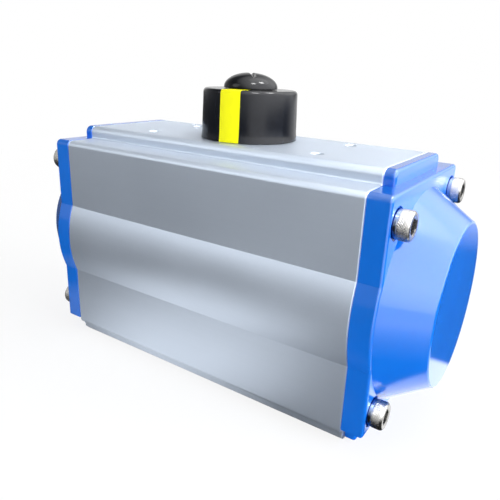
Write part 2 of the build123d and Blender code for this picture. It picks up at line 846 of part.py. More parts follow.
def all_parts():
    cap = make_end_cap()
    cap_seal = make_cap_seal()
    cap_screws = make_cap_screws()
    piston = make_piston()
    band = piston_band(0)
    piston_seal = make_piston_seal()
    pad = back_pad(0)
    stop_screw = make_stop_screw()
    lower_bearing = (lower_journal_radius, lower_hole_radius, lower_bearing_low, lower_bearing_height)
    upper_bearing = (upper_journal_radius, upper_hole_radius, upper_bearing_low, upper_bearing_height)
    return {
        "body": make_body(),
        "end_cap_right": cap,
        "end_cap_left": Rot(0, 0, 180) * cap,
        "end_cap_seal_right": cap_seal,
        "end_cap_seal_left": Rot(0, 0, 180) * cap_seal,
        "end_cap_screws_right": cap_screws,
        "end_cap_screws_left": Rot(0, 0, 180) * cap_screws,
        "piston_right": right_at_rest(piston),
        "piston_left": left_at_rest(piston),
        "piston_band_right": right_at_rest(band),
        "piston_band_left": left_at_rest(band),
        "piston_seal_right": right_at_rest(piston_seal),
        "piston_seal_left": left_at_rest(piston_seal),
        "piston_back_pad_right": right_at_rest(pad),
        "piston_back_pad_left": left_at_rest(pad),
        "pinion": turned_to_rest(make_pinion()),
        "stop_cam": turned_to_rest(make_stop_cam()),
        "lower_pinion_bearing": bearing_ring(*lower_bearing),
        "upper_pinion_bearing": bearing_ring(*upper_bearing),
        "lower_pinion_seal": shaft_seal(lower_hole_radius, lower_seal_height),
        "upper_pinion_seal": shaft_seal(upper_hole_radius, upper_seal_height),
        "inner_thrust_washer": make_inner_washer(),
        "outer_thrust_washer": make_outer_washer(),
        "snap_ring_washer": make_snap_washer(),
        "snap_ring": turned_to_rest(make_snap_ring()),
        "stop_screw_right": Pos(stop_offset) * stop_screw,
        "stop_screw_left": Pos(-stop_offset) * stop_screw,
        "stop_screw_washers": make_stop_washers(),
        "stop_screw_nuts": make_stop_nuts(),
        "position_indicator": turned_to_rest(make_indicator()),
        "indicator_stripe": turned_to_rest(make_stripe()),
        "indicator_screw": turned_to_rest(make_indicator_screw()),
    }


os.makedirs("parts", exist_ok=True)
for node_name, shape in all_parts().items():
    export_step(shape, f"parts/{node_name}.step")
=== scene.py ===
import bpy
import bmesh
import json
import math
from mathutils import Matrix, Vector


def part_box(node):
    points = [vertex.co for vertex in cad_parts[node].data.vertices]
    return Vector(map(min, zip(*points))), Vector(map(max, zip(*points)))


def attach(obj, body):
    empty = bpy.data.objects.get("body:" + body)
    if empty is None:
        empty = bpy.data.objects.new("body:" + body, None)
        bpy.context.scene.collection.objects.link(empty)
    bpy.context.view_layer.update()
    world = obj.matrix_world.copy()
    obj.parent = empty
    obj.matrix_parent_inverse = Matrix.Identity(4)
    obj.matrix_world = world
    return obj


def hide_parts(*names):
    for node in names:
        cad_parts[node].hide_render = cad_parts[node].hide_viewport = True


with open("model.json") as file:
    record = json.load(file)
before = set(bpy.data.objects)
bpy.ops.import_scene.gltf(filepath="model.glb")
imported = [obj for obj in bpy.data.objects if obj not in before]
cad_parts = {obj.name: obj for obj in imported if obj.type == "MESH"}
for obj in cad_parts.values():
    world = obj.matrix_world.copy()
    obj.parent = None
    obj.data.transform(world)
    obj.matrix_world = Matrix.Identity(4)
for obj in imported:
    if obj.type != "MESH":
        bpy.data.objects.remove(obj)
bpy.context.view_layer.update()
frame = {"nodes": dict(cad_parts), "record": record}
cadNodes = frame["nodes"]
bodyOf = {node: name for name, members in frame["record"]["behaviour"]["bodies"].items() for node in members}
slotOf = {part["node"]: part["material_slot"] for part in frame["record"]["subparts"]}
print("frame loaded:", len(cadNodes), "nodes")


# a socket that can be used in plain arithmetic, in shaders and in geometry trees
class Wire:
    def __init__(self, tree, socket):
        self.tree = tree
        self.socket = socket

    def join(self, operation, first, second=0.0, third=0.0):
        return self.tree.add("ShaderNodeMath", {"operation": operation}, {0: first, 1: second, 2: third})[0]

    def __add__(self, other):
        return self.join("ADD", self, other)

    def __sub__(self, other):
        return self.join("SUBTRACT", self, other)

    def __mul__(self, other):
        return self.join("MULTIPLY", self, other)

    def __truediv__(self, other):
        return self.join("DIVIDE", self, other)

    def __pow__(self, other):
        return self.join("POWER", self, other)

    def __radd__(self, other):
        return self.join("ADD", other, self)

    def __rsub__(self, other):
        return self.join("SUBTRACT", other, self)

    def __rmul__(self, other):
        return self.join("MULTIPLY", other, self)

    def __rtruediv__(self, other):
        return self.join("DIVIDE", other, self)

    def sine(self):
        return self.join("SINE", self)

    def cosine(self):
        return self.join("COSINE", self)

    def absolute(self):
        return self.join("ABSOLUTE", self)

    def fraction(self):
        return self.join("FRACT", self)

    def clipped(self, low, high):
        return self.join("MINIMUM", self.join("MAXIMUM", self, low), high)


# the outputs of one node, by number or by name
class Outputs:
    def __init__(self, tree, node):
        self.tree = tree
        self.node = node

    def __getitem__(self, key):
        return Wire(self.tree, self.node.outputs[key])


# adds nodes to a tree: settings first, then the values or links of the sockets
class Tree:
    def __init__(self, nodeTree):
        self.nodes = nodeTree.nodes
        self.links = nodeTree.links

    def add(self, kind, settings=None, sockets=None):
        node = self.nodes.new(kind)
        for name, value in (settings or {}).items():
            if name == "stops":
                ramp = node.color_ramp
                while len(ramp.elements) < len(value):
                    ramp.elements.new(0.5)
                for element, (position, colour) in zip(ramp.elements, value):
                    element.position = position
                    element.color = (*colour, 1.0)
            else:
                setattr(node, name, value)
        for key, value in (sockets or {}).items():
            self.set(node.inputs[key], value)
        return Outputs(self, node)

    def set(self, socket, value):
        if isinstance(value, Wire):
            self.links.new(value.socket, socket)
        elif hasattr(socket, "default_value"):
            socket.default_value = value


def newMaterial(name):
    material = bpy.data.materials.new(name)
    material.use_nodes = True
    material.node_tree.nodes.clear()
    tree = Tree(material.node_tree)
    place = tree.add("ShaderNodeTexCoord")["Object"]
    return material, tree, place


def finishMaterial(tree, sockets):
    shader = tree.add("ShaderNodeBsdfPrincipled", {}, sockets)
    tree.add("ShaderNodeOutputMaterial", {}, {"Surface": shader["BSDF"]})


def noiseAt(tree, place, scale, detail=2.0, stretch=(1.0, 1.0, 1.0), roughness=0.5):
    point = tree.add("ShaderNodeMapping", {}, {"Vector": place, "Scale": stretch})["Vector"]
    sockets = {"Vector": point, "Scale": scale, "Detail": detail, "Roughness": roughness}
    return tree.add("ShaderNodeTexNoise", {}, sockets)["Fac"]


def blendColours(tree, amount, first, second):
    sockets = {"Factor": amount, 6: (*first, 1.0) if isinstance(first, tuple) else first,
               7: (*second, 1.0) if isinstance(second, tuple) else second}
    return tree.add("ShaderNodeMix", {"data_type": "RGBA"}, sockets)[2]


def bumpFrom(tree, height, distance, strength=1.0):
    return tree.add("ShaderNodeBump", {}, {"Height": height, "Distance": distance, "Strength": strength})["Normal"]


# hard anodised extrusion: fine matt grain, faint drawing lines along the profile, a few handling marks
anodisedLook = {
    "dark": (0.390, 0.450, 0.530),
    "light": (0.500, 0.555, 0.640),
    "grainScale": 2600.0,
    "lineScale": 900.0,
    "roughness": 0.46,
}


def anodisedAluminium():
    look = anodisedLook
    material, tree, place = newMaterial("anodisedAluminium")
    grain = noiseAt(tree, place, look["grainScale"], 3.0, roughness=0.7)
    cloud = noiseAt(tree, place, 38.0, 4.0)
    lines = noiseAt(tree, place, look["lineScale"], 2.0, (0.012, 1.0, 1.0))
    shade = (grain * 0.62 + cloud * 0.24 + lines * 0.14).clipped(0.0, 1.0)
    colour = blendColours(tree, shade, look["dark"], look["light"])
    rough = look["roughness"] + (grain - 0.5) * 0.22 + (cloud - 0.5) * 0.10
    height = grain * 0.7 + lines * 0.3
    finishMaterial(tree, {
        "Base Color": colour, "Metallic": 0.72, "Roughness": rough.clipped(0.25, 0.8),
        "Normal": bumpFrom(tree, height, 0.00004, 0.45),
    })
    return material


# glossy powder coat: slight orange peel, tone that changes at random
bluePaintLook = {
    "deep": (0.0004, 0.130, 0.610),
    "bright": (0.0010, 0.158, 0.680),
    "peelScale": 420.0,
    "roughness": 0.16,
}


def bluePaint():
    look = bluePaintLook
    material, tree, place = newMaterial("bluePaint")
    peel = noiseAt(tree, place, look["peelScale"], 2.0)
    cloud = noiseAt(tree, place, 30.0, 3.0)
    speck = noiseAt(tree, place, 1500.0, 1.0)
    colour = blendColours(tree, cloud * 0.7 + peel * 0.3, look["deep"], look["bright"])
    rough = look["roughness"] + (cloud - 0.5) * 0.12 + (speck - 0.5) * 0.08
    finishMaterial(tree, {
        "Base Color": colour, "Roughness": rough.clipped(0.06, 0.5),
        "Normal": bumpFrom(tree, peel + speck * 0.1, 0.00006, 0.30),
        "Coat Weight": 0.40, "Coat Roughness": 0.08, "IOR": 1.5,
    })
    return material


# moulded plastics: soft sheen, a breath of mould texture
plasticLooks = {
    "blackPlastic": {"dark": (0.0035, 0.0040, 0.0060), "light": (0.0090, 0.0105, 0.0150), "roughness": 0.13, "grain": 1500.0,
                     "bend": 1.28},
    "yellowPlastic": {"dark": (0.86, 0.83, 0.0), "light": (0.95, 0.93, 0.001), "roughness": 0.55, "grain": 1500.0,
                      "bend": 1.30},
    "guidePlastic": {"dark": (0.62, 0.59, 0.50), "light": (0.76, 0.73, 0.65), "roughness": 0.45, "grain": 900.0,
                     "bend": 1.50},
    "rubberSeal": {"dark": (0.010, 0.010, 0.011), "light": (0.024, 0.024, 0.026), "roughness": 0.62, "grain": 2200.0,
                   "bend": 1.50},
}


def mouldedPlastic(name):
    look = plasticLooks[name]
    material, tree, place = newMaterial(name)
    grain = noiseAt(tree, place, look["grain"], 2.0)
    cloud = noiseAt(tree, place, 60.0, 3.0)
    colour = blendColours(tree, grain * 0.5 + cloud * 0.5, look["dark"], look["light"])
    rough = look["roughness"] + (cloud - 0.5) * 0.16 + (grain - 0.5) * 0.08
    finishMaterial(tree, {
        "Base Color": colour, "Roughness": rough.clipped(0.1, 0.9),
        "Normal": bumpFrom(tree, grain, 0.00003, 0.25), "IOR": look["bend"],
    })
    return material


# metals: fine turning or casting texture, small tone changes
metalLooks = {
    "stainlessSteel": {"dark": (0.30, 0.295, 0.285), "light": (0.42, 0.415, 0.40), "roughness": 0.26,
                       "grain": 1800.0, "stretch": (1.0, 1.0, 1.0)},
    "castAluminium": {"dark": (0.50, 0.50, 0.51), "light": (0.68, 0.68, 0.68), "roughness": 0.42,
                      "grain": 700.0, "stretch": (1.0, 1.0, 1.0)},
    "platedSteel": {"dark": (0.40, 0.39, 0.36), "light": (0.56, 0.55, 0.51), "roughness": 0.30,
                    "grain": 1400.0, "stretch": (1.0, 1.0, 6.0)},
    "springSteel": {"dark": (0.06, 0.06, 0.07), "light": (0.12, 0.12, 0.13), "roughness": 0.40,
                    "grain": 1400.0, "stretch": (1.0, 1.0, 1.0)},
    # thread linings: metal colour, darkened past bare metal so the holes read dark, partly painted shade in the holes
    "cutThreadPaintedShade": {"dark": (0.26, 0.27, 0.29), "light": (0.44, 0.45, 0.47), "roughness": 0.34,
                  "grain": 2000.0, "stretch": (1.0, 1.0, 1.0)},
    # painted shade and painted reflection of the blue cap: dark, blue-tinted steel for the screw heads' root rings
    "paintedShadeReflectionSteel": {"dark": (0.16, 0.21, 0.32), "light": (0.24, 0.30, 0.42), "roughness": 0.12,
                       "grain": 1600.0, "stretch": (1.0, 1.0, 1.0)},
}


def bareMetal(name):
    look = metalLooks[name]
    material, tree, place = newMaterial(name)
    grain = noiseAt(tree, place, look["grain"], 3.0, look["stretch"], 0.6)
    cloud = noiseAt(tree, place, 90.0, 3.0)
    colour = blendColours(tree, grain * 0.55 + cloud * 0.45, look["dark"], look["light"])
    rough = look["roughness"] + (grain - 0.5) * 0.16 + (cloud - 0.5) * 0.12
    finishMaterial(tree, {
        "Base Color": colour, "Metallic": 1.0, "Roughness": rough.clipped(0.08, 0.8),
        "Normal": bumpFrom(tree, grain, 0.00002, 0.35),
    })
    return material


finishes = {
    "anodised_aluminium": anodisedAluminium(),
    "blue_paint": bluePaint(),
    "rubber_seal": mouldedPlastic("rubberSeal"),
    "stainless_steel": bareMetal("stainlessSteel"),
    "cast_aluminium": bareMetal("castAluminium"),
    "guide_plastic": mouldedPlastic("guidePlastic"),
    "plated_steel": bareMetal("platedSteel"),
    "spring_steel": bareMetal("springSteel"),
    "black_plastic": mouldedPlastic("blackPlastic"),
    "yellow_plastic": mouldedPlastic("yellowPlastic"),
}
# darkened thread metal (partly painted shade in the holes) and blue-tinted root steel (painted shade and painted
# reflection)
cutThreadPaintedShade = bareMetal("cutThreadPaintedShade")
paintedShadeReflectionSteel = bareMetal("paintedShadeReflectionSteel")
print("materials made:", len(finishes) + 2)


def addPiece(name, mesh, body, slot, replaced=(), material=None):
    piece = bpy.data.objects.new(name, mesh)
    bpy.context.scene.collection.objects.link(piece)
    mesh.materials.clear()
    mesh.materials.append(material or finishes[slot])
    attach(piece, body)
    if replaced:
        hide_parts(*replaced)
    return piece


# a welded, smoothly shaded copy of a CAD node, with flat faces kept flat
def smoothCopy(node, angle, isCrease=None):
    mesh = cadNodes[node].data.copy()
    work = bmesh.new()
    work.from_mesh(mesh)
    bmesh.ops.remove_doubles(work, verts=work.verts, dist=0.000002)
    bmesh.ops.dissolve_limit(work, angle_limit=0.0015, verts=work.verts, edges=work.edges)
    for face in work.faces:
        face.smooth = True
    for edge in work.edges:
        bend = edge.calc_face_angle(0.0) if len(edge.link_faces) == 2 else math.pi
        middle = (edge.verts[0].co + edge.verts[1].co) / 2
        edge.smooth = bend < angle and not (isCrease and isCrease(middle, bend))
    work.to_mesh(mesh)
    work.free()
    return weighted(mesh)


# face-weighted normals, made part of the mesh
def weighted(mesh):
    helper = bpy.data.objects.new("helper", mesh)
    bpy.context.scene.collection.objects.link(helper)
    modifier = helper.modifiers.new("weighted", "WEIGHTED_NORMAL")
    modifier.keep_sharp = True
    modifier.weight = 100
    graph = bpy.context.evaluated_depsgraph_get()
    result = bpy.data.meshes.new_from_object(helper.evaluated_get(graph), depsgraph=graph)
    bpy.data.objects.remove(helper)
    return result


# the crease where the round bulge meets the flat side
bulgeCrease = {"side": 0.0385, "heights": (0.0635, 0.0325), "reach": 0.0009}


def atBulgeCrease(middle, bend):
    look = bulgeCrease
    nearSide = abs(abs(middle.y) - look["side"]) < look["reach"]
    nearHeight = min(abs(middle.z - height) for height in look["heights"]) < look["reach"]
    return nearSide and nearHeight and bend > 0.17


smoothing = {
    "body": 0.32, "end_cap_right": 0.60, "end_cap_left": 0.60,
    "position_indicator": 0.50, "indicator_stripe": 0.50,
    "stop_screw_washers": 0.50, "stop_screw_nuts": 0.30,
}
for node, angle in smoothing.items():
    crease = atBulgeCrease if node.startswith(("body", "end_cap")) else None
    addPiece(node + "_dressed", smoothCopy(node, angle, crease), bodyOf[node], slotOf[node], (node,))
print("outer pieces smoothed")

for node in ("piston_right", "piston_left", "pinion", "stop_cam", "piston_seal_right", "piston_seal_left"):
    addPiece(node + "_dressed", smoothCopy(node, 0.40), bodyOf[node], slotOf[node], (node,))
print("inner pieces smoothed")


# Geometry Nodes
def newGeometryTree(name, inputs):
    group = bpy.data.node_groups.new(name, "GeometryNodeTree")
    for label, kind, value in inputs:
        socket = group.interface.new_socket(name=label, in_out="INPUT", socket_type=kind)
        if value is not None:
            socket.default_value = value
    group.interface.new_socket(name="Geometry", in_out="OUTPUT", socket_type="NodeSocketGeometry")
    tree = Tree(group)
    given = tree.add("NodeGroupInput")
    return group, tree, given


def endTree(tree, geometry, material):
    solid = tree.add("GeometryNodeRealizeInstances", {}, {0: geometry})[0]
    painted = tree.add("GeometryNodeSetMaterial", {}, {"Geometry": solid, "Material": material})["Geometry"]
    tree.add("NodeGroupOutput", {}, {"Geometry": painted})


# runs a tree on an empty mesh and gives back the plain mesh
def grown(group, values):
    host = bpy.data.objects.new("host", bpy.data.meshes.new("host"))
    bpy.context.scene.collection.objects.link(host)
    modifier = host.modifiers.new("grow", "NODES")
    modifier.node_group = group
    for item in group.interface.items_tree:
        if item.in_out == "INPUT" and item.name in values:
            modifier[item.identifier] = values[item.name]
    graph = bpy.context.evaluated_depsgraph_get()
    mesh = bpy.data.meshes.new_from_object(host.evaluated_get(graph), depsgraph=graph)
    bpy.data.objects.remove(host)
    return mesh


# a wound surface: a grid bent into a tube along Z whose radius follows one or two sets of slanted ridges
def woundTubeTree(name, crossed):
    group, tree, given = newGeometryTree(name, [
        ("Radius", "NodeSocketFloat", 0.004), ("Depth", "NodeSocketFloat", 0.0004),
        ("Length", "NodeSocketFloat", 0.01), ("Pitch", "NodeSocketFloat", 0.00125),
        ("Starts", "NodeSocketFloat", 1.0), ("Around", "NodeSocketInt", 32), ("Rows", "NodeSocketInt", 40),
        ("Material", "NodeSocketMaterial", None),
    ])
    grid = tree.add("GeometryNodeMeshGrid", {}, {
        "Size X": 1.0, "Size Y": 1.0, "Vertices X": given["Around"], "Vertices Y": given["Rows"]})["Mesh"]
    position = tree.add("ShaderNodeSeparateXYZ", {}, {0: tree.add("GeometryNodeInputPosition")[0]})
    turn = position[0] + 0.5
    rise = (position[1] + 0.5) * given["Length"]
    phase = rise / given["Pitch"]
    ridge = ((phase - turn * given["Starts"]).fraction() - 0.5).absolute() * 2.0
    if crossed:
        other = ((phase + turn * given["Starts"]).fraction() - 0.5).absolute() * 2.0
        ridge = ridge.join("MINIMUM", ridge, other) * 1.6
    inner = (rise / given["Depth"]).clipped(0.0, 1.0)
    outer = ((given["Length"] - rise) / given["Depth"]).clipped(0.0, 1.0)
    ridge = ridge.clipped(0.0, 1.0) * inner * outer
    radius = given["Radius"] - given["Depth"] * (1.0 - ridge)
    angle = turn * (2.0 * math.pi)
    point = tree.add("ShaderNodeCombineXYZ", {}, {0: radius * angle.cosine(), 1: radius * angle.sine(), 2: rise})[0]
    bent = tree.add("GeometryNodeSetPosition", {}, {"Geometry": grid, "Position": point})[0]
    closed = tree.add("GeometryNodeMergeByDistance", {}, {"Geometry": bent, "Distance": 0.000001})[0]
    endTree(tree, closed, given["Material"])
    return group


threadTree = woundTubeTree("woundThread", False)
knurlTree = woundTubeTree("crossedKnurl", True)


# instances of a piece at the corners of a grid, each with its own seeded turn
def spreadTree(name):
    group, tree, given = newGeometryTree(name, [
        ("Piece", "NodeSocketObject", None), ("Width", "NodeSocketFloat", 0.05), ("Depth", "NodeSocketFloat", 0.05),
        ("Count X", "NodeSocketInt", 2), ("Count Y", "NodeSocketInt", 2), ("Seed", "NodeSocketInt", 3),
        ("Turn", "NodeSocketFloat", 0.0), ("Material", "NodeSocketMaterial", None),
    ])
    grid = tree.add("GeometryNodeMeshGrid", {}, {
        "Size X": given["Width"], "Size Y": given["Depth"],
        "Vertices X": given["Count X"], "Vertices Y": given["Count Y"]})["Mesh"]
    points = tree.add("GeometryNodeMeshToPoints", {}, {"Mesh": grid})[0]
    piece = tree.add("GeometryNodeObjectInfo", {}, {"Object": given["Piece"], "As Instance": True})["Geometry"]
    spin = tree.add("FunctionNodeRandomValue", {"data_type": "FLOAT"}, {
        2: 0.0, 3: given["Turn"], "ID": tree.add("GeometryNodeInputIndex")[0], "Seed": given["Seed"]})[1]
    turned = tree.add("ShaderNodeCombineXYZ", {}, {2: spin})[0]
    spread = tree.add("GeometryNodeInstanceOnPoints", {}, {
        "Points": points, "Instance": piece, "Rotation": turned})[0]
    endTree(tree, spread, given["Material"])
    return group


pieceSpread = spreadTree("pieceSpread")


# lays out copies of one mesh, drawn about the Z axis, and moves the pattern to its face
def laidOut(seedMesh, width, depth, countX, countY, toFace, turn, seed, material):
    seedPiece = bpy.data.objects.new("seedPiece", seedMesh)
    bpy.context.scene.collection.objects.link(seedPiece)
    mesh = grown(pieceSpread, {
        "Piece": seedPiece, "Width": width, "Depth": depth, "Count X": countX, "Count Y": countY,
        "Turn": turn, "Seed": seed, "Material": material})
    bpy.data.objects.remove(seedPiece)
    mesh.transform(toFace)
    return mesh


def turnedRings(work, profile, sides, start=0.0):
    rings = []
    for radius, height in profile:
        ring = []
        for step in range(sides):
            angle = start + 2 * math.pi * step / sides
            ring.append(work.verts.new((radius * math.cos(angle), radius * math.sin(angle), height)))
        rings.append(ring)
    for lower, upper in zip(rings, rings[1:]):
        for step in range(sides):
            after = (step + 1) % sides
            work.faces.new((lower[step], lower[after], upper[after], upper[step]))
    return rings


# socket-head cap screw, head face up, seat at Z = 0: plain root, knurled side, chamfered rim, hexagon socket
capScrew = {
    "headRadius": 0.0050, "headHeight": 0.0060, "rim": 0.0005, "hexAcross": 0.0050, "hexDepth": 0.0032,
    "knurlDepth": 0.00014, "knurlPitch": 0.00082, "knurlStarts": 38, "knurlFrom": 0.0021, "rootRadius": 0.00488,
    "shankRadius": 0.0030, "shankLength": 0.025,
}


def capScrewMesh():
    size = capScrew
    knurl = grown(knurlTree, {
        "Radius": size["headRadius"], "Depth": size["knurlDepth"],
        "Length": size["headHeight"] - size["rim"] - size["knurlFrom"] - 0.0002, "Pitch": size["knurlPitch"],
        "Starts": float(size["knurlStarts"]), "Around": 229, "Rows": 28})
    knurl.transform(Matrix.Translation((0, 0, size["knurlFrom"])))
    work = bmesh.new()
    work.from_mesh(knurl)
    sides = 48
    top = size["headHeight"]
    side = size["headRadius"] - size["knurlDepth"]
    rimLow = top - size["rim"] - 0.0002
    hexRadius = size["hexAcross"] / 2 / math.cos(math.pi / 6)
    root = size["rootRadius"]
    outer = turnedRings(work, [(side, size["knurlFrom"]), (root - 0.00005, size["knurlFrom"] - 0.0001),
                               (root - 0.00005, 0.0003), (size["shankRadius"], 0.0003),
                               (size["shankRadius"], -size["shankLength"] + 0.0006),
                               (size["shankRadius"] - 0.0006, -size["shankLength"])], sides)
    work.faces.new(outer[-1])
    faceRadius = side - size["rim"]
    rim = turnedRings(work, [(side, rimLow), (side, rimLow + 0.0002), (faceRadius + 0.00012, top - 0.00008),
                             (faceRadius, top), (hexRadius + 0.00028, top)], sides)
    # the socket's chamfered mouth meets the round face; its hexagon has eight points to a side
    mouth = []
    floor = []
    for step in range(sides):
        angle = 2 * math.pi * step / sides
        inSector = (angle + math.pi / 6) % (math.pi / 3) - math.pi / 6
        reach = size["hexAcross"] / 2 / math.cos(inSector)
        mouth.append(work.verts.new((reach * math.cos(angle), reach * math.sin(angle), top - 0.00022)))
        floor.append(work.verts.new((reach * math.cos(angle), reach * math.sin(angle), top - size["hexDepth"])))
    middle = work.verts.new((0, 0, top - size["hexDepth"] - 0.0009))
    for step in range(sides):
        after = (step + 1) % sides
        work.faces.new((rim[-1][step], rim[-1][after], mouth[after], mouth[step]))
        work.faces.new((mouth[step], mouth[after], floor[after], floor[step]))
        work.faces.new((floor[step], floor[after], middle))
    bmesh.ops.recalc_face_normals(work, faces=work.faces)
    for face in work.faces:
        face.smooth = True
    for edge in work.edges:
        edge.smooth = len(edge.link_faces) == 2 and edge.calc_face_angle(0.0) < 0.6
    mesh = bpy.data.meshes.new("capScrew")
    work.to_mesh(mesh)
    work.free()
    return mesh


# the smooth ring between the seat and the knurl; it carries the painted shade and painted reflection of the blue cap
def capScrewRoot():
    size = capScrew
    root = size["rootRadius"]
    high = size["knurlFrom"] - 0.00012
    work = bmesh.new()
    turnedRings(work, [(root - 0.0002, 0.0), (root, 0.0002), (root, high - 0.0001), (root - 0.0001, high),
                       (root - 0.0006, high), (root - 0.0006, 0.0), (root - 0.0002, 0.0)], 64)
    bmesh.ops.remove_doubles(work, verts=work.verts, dist=0.000001)
    bmesh.ops.recalc_face_normals(work, faces=work.faces)
    for face in work.faces:
        face.smooth = True
    for edge in work.edges:
        edge.smooth = len(edge.link_faces) == 2 and edge.calc_face_angle(0.0) < 0.6
    mesh = bpy.data.meshes.new("capScrewRoot")
    work.to_mesh(mesh)
    work.free()
    return mesh


def placeCapScrews():
    screw = capScrewMesh()
    root = capScrewRoot()
    low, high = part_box("end_cap_screws_right")
    headRadius = capScrew["headRadius"]
    seat = high.x - capScrew["headHeight"]
    width = high.y - low.y - 2 * headRadius
    height = high.z - low.z - 2 * headRadius
    middle = (high.z + low.z) / 2
    for node, sign, seed in (("end_cap_screws_right", 1, 5), ("end_cap_screws_left", -1, 11)):
        # the pattern lies in XY with the heads up; its Z turns to the cap's outward X
        turn = Matrix(((0, 0, sign, 0), (sign, 0, 0, 0), (0, 1, 0, 0), (0, 0, 0, 1)))
        toFace = Matrix.Translation((sign * seat, 0, middle)) @ turn
        mesh = laidOut(screw, width, height, 2, 2, toFace, math.pi / 3, seed, finishes["stainless_steel"])
        addPiece(node + "_knurled", mesh, bodyOf[node], slotOf[node], (node,))
        # root rings in dark, blue-tinted steel: painted shade and painted reflection of the cap at each head's foot
        rings = laidOut(root, width, height, 2, 2, toFace, 0.0, seed, paintedShadeReflectionSteel)
        addPiece(node + "_roots", rings, bodyOf[node], slotOf[node], material=paintedShadeReflectionSteel)


placeCapScrews()
print("knurled cap screws placed")


# domed screw on the indicator: full crown, rounded edge, cross recess that runs out through the crown
domedScrew = {
    "radius": 0.0110, "rise": 0.0057, "rim": 0.0005, "edge": 0.0002, "neckRadius": 0.0090, "neckHeight": 0.00025,
    "shankRadius": 0.0030, "sides": 96, "crownRings": 22,
    "crossLength": 0.0166, "crossTop": 0.0026, "crossFloor": 0.0010, "crossDepth": 0.0028, "crossTurn": math.radians(-46),
}


def crossBar(top, turn):
    size = domedScrew
    half = size["crossLength"] / 2
    high, low = top + 0.0004, top - size["crossDepth"]
    corners = [(x * half, y * width / 2, z)
               for width, z in ((size["crossFloor"], low), (size["crossTop"], high))
               for x, y in ((-1, -1), (1, -1), (1, 1), (-1, 1))]
    mesh = bpy.data.meshes.new("crossBar")
    mesh.from_pydata(corners, [], [(3, 2, 1, 0), (4, 5, 6, 7), (0, 1, 5, 4), (1, 2, 6, 5), (2, 3, 7, 6), (3, 0, 4, 7)])
    mesh.transform(Matrix.Rotation(turn, 4, "Z"))
    return mesh


def cutAway(mesh, cutters):
    blank = bpy.data.objects.new("blank", mesh)
    bpy.context.scene.collection.objects.link(blank)
    helpers = []
    for cutter in cutters:
        helper = bpy.data.objects.new("cutter", cutter)
        bpy.context.scene.collection.objects.link(helper)
        modifier = blank.modifiers.new("cut", "BOOLEAN")
        modifier.operation = "DIFFERENCE"
        modifier.solver = "EXACT"
        modifier.object = helper
        helpers.append(helper)
    graph = bpy.context.evaluated_depsgraph_get()
    result = bpy.data.meshes.new_from_object(blank.evaluated_get(graph), depsgraph=graph)
    for helper in helpers + [blank]:
        bpy.data.objects.remove(helper)
    return result


def domedScrewMesh():
    size = domedScrew
    low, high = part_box("indicator_screw")
    top = high.z
    crownLow = top - size["rise"]
    headLow = crownLow - size["rim"]
    neckLow = headLow - size["neckHeight"]
    radius, edge = size["radius"], size["edge"]
    profile = [(size["shankRadius"] - 0.0004, low.z), (size["shankRadius"], low.z + 0.0004), (size["shankRadius"], neckLow),
               (size["neckRadius"], neckLow), (size["neckRadius"], headLow), (radius - edge, headLow),
               (radius, headLow + edge)]
    for step in range(size["crownRings"]):
        turn = math.pi / 2 * step / size["crownRings"]
        profile.append((radius * math.cos(turn), crownLow + size["rise"] * math.sin(turn)))
    work = bmesh.new()
    rings = turnedRings(work, profile, size["sides"])
    work.faces.new(rings[0])
    tip = work.verts.new((0, 0, top))
    for step in range(size["sides"]):
        work.faces.new((rings[-1][step], rings[-1][(step + 1) % size["sides"]], tip))
    bmesh.ops.recalc_face_normals(work, faces=work.faces)
    mesh = bpy.data.meshes.new("domedScrew")
    work.to_mesh(mesh)
    work.free()
    cut = cutAway(mesh, [crossBar(top, size["crossTurn"]), crossBar(top, size["crossTurn"] + math.pi / 2)])
    work = bmesh.new()
    work.from_mesh(cut)
    for face in work.faces:
        face.smooth = True
    for edge in work.edges:
        edge.smooth = len(edge.link_faces) == 2 and edge.calc_face_angle(0.0) < 0.5
    work.to_mesh(cut)
    work.free()
    return weighted(cut)


addPiece("indicator_screw_dressed", domedScrewMesh(), bodyOf["indicator_screw"], slotOf["indicator_screw"],
         ("indicator_screw",))
print("domed screw made")


# stop screws: threaded rods with a hexagon socket in the tail
stopScrew = {"radius": 0.0040, "threadDepth": 0.00055, "pitch": 0.00125, "hexAcross": 0.0040, "hexDepth": 0.0045}


def threadedRod():
    size = stopScrew
    low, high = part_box("stop_screw_right")
    length = high.y - low.y
    chamfer = size["threadDepth"]
    rod = grown(threadTree, {
        "Radius": size["radius"], "Depth": chamfer, "Length": length, "Pitch": size["pitch"],
        "Starts": 1.0, "Around": 37, "Rows": 241})
    work = bmesh.new()
    work.from_mesh(rod)
    sides = 36
    core = size["radius"] - chamfer
    turnedTip = turnedRings(work, [(core, 0), (core * 0.5, 0)], sides)
    work.faces.new(turnedTip[-1])
    mouth = size["hexAcross"] / 2 / math.cos(math.pi / 6) + 0.0001
    tail = turnedRings(work, [(core, length), (mouth, length)], sides)
    hexTop = []
    hexFloor = []
    for step in range(sides):
        angle = 2 * math.pi * step / sides
        reach = size["hexAcross"] / 2 / math.cos((angle + math.pi / 6) % (math.pi / 3) - math.pi / 6)
        hexTop.append(work.verts.new((reach * math.cos(angle), reach * math.sin(angle), length - 0.0002)))
        hexFloor.append(work.verts.new((reach * math.cos(angle), reach * math.sin(angle), length - size["hexDepth"])))
    for step in range(sides):
        after = (step + 1) % sides
        work.faces.new((tail[-1][step], tail[-1][after], hexTop[after], hexTop[step]))
        work.faces.new((hexTop[step], hexTop[after], hexFloor[after], hexFloor[step]))
    work.faces.new(hexFloor)
    bmesh.ops.remove_doubles(work, verts=work.verts, dist=0.000001)
    bmesh.ops.recalc_face_normals(work, faces=work.faces)
    for face in work.faces:
        face.smooth = True
    for edge in work.edges:
        edge.smooth = len(edge.link_faces) == 2 and edge.calc_face_angle(0.0) < 0.9
    mesh = bpy.data.meshes.new("threadedRod")
    work.to_mesh(mesh)
    work.free()
    return mesh


